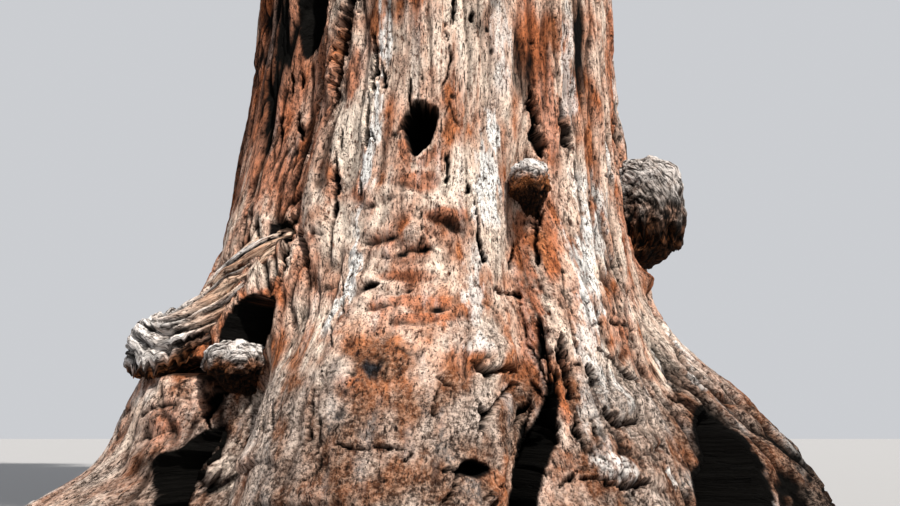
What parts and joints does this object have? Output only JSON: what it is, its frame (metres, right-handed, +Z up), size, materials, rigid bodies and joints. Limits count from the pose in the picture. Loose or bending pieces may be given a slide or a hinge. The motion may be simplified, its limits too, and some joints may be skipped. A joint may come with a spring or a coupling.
{
  "type": "giant sequoia tree",
  "caption": "Whole giant sequoia with a massive flared and burled trunk base, a long tapering trunk, thick upswept boughs and a tall crown of rounded foliage masses.",
  "frame": {"origin": "centre of the flat cut under the trunk, at ground level", "axes": "+Z up the trunk, -Y towards the side with the knot hole, +X to that side's right"},
  "size_m": [11.8718, 11.6771, 40],
  "materials": {
    "bark": "thick fibrous cinnamon bark, bleached pale on the ridges and black in the furrows",
    "burl": "weathered grey swirled bark and bare wood",
    "foliage": "blue-green scale needles in dense sprays"
  },
  "bodies": {
    "root": {"bough_01": "bark", "bough_02": "bark", "bough_03": "bark", "bough_04": "bark", "bough_05": "bark", "bough_06": "bark", "bough_07": "bark", "bough_08": "bark", "bough_09": "bark", "bough_10": "bark", "bough_11": "bark", "bough_12": "bark", "bough_13": "bark", "bough_14": "bark", "bough_15": "bark", "bough_16": "bark", "bough_17": "bark", "bough_18": "bark", "burl_inner": "burl", "burl_knob": "burl", "burl_left": "burl", "burl_right": "burl", "foliage_01": "foliage", "foliage_02": "foliage", "foliage_03": "foliage", "foliage_04": "foliage", "foliage_05": "foliage", "foliage_06": "foliage", "foliage_07": "foliage", "foliage_08": "foliage", "foliage_09": "foliage", "foliage_10": "foliage", "foliage_11": "foliage", "foliage_12": "foliage", "foliage_13": "foliage", "foliage_14": "foliage", "foliage_15": "foliage", "foliage_16": "foliage", "foliage_17": "foliage", "foliage_18": "foliage", "foliage_leader": "foliage", "foliage_top_1": "foliage", "foliage_top_2": "foliage", "foliage_top_3": "foliage", "foliage_top_4": "foliage", "foliage_top_5": "foliage", "foliage_top_6": "foliage", "foliage_top_7": "foliage", "foliage_top_8": "foliage", "trunk": "bark"}
  },
  "joints": []
}
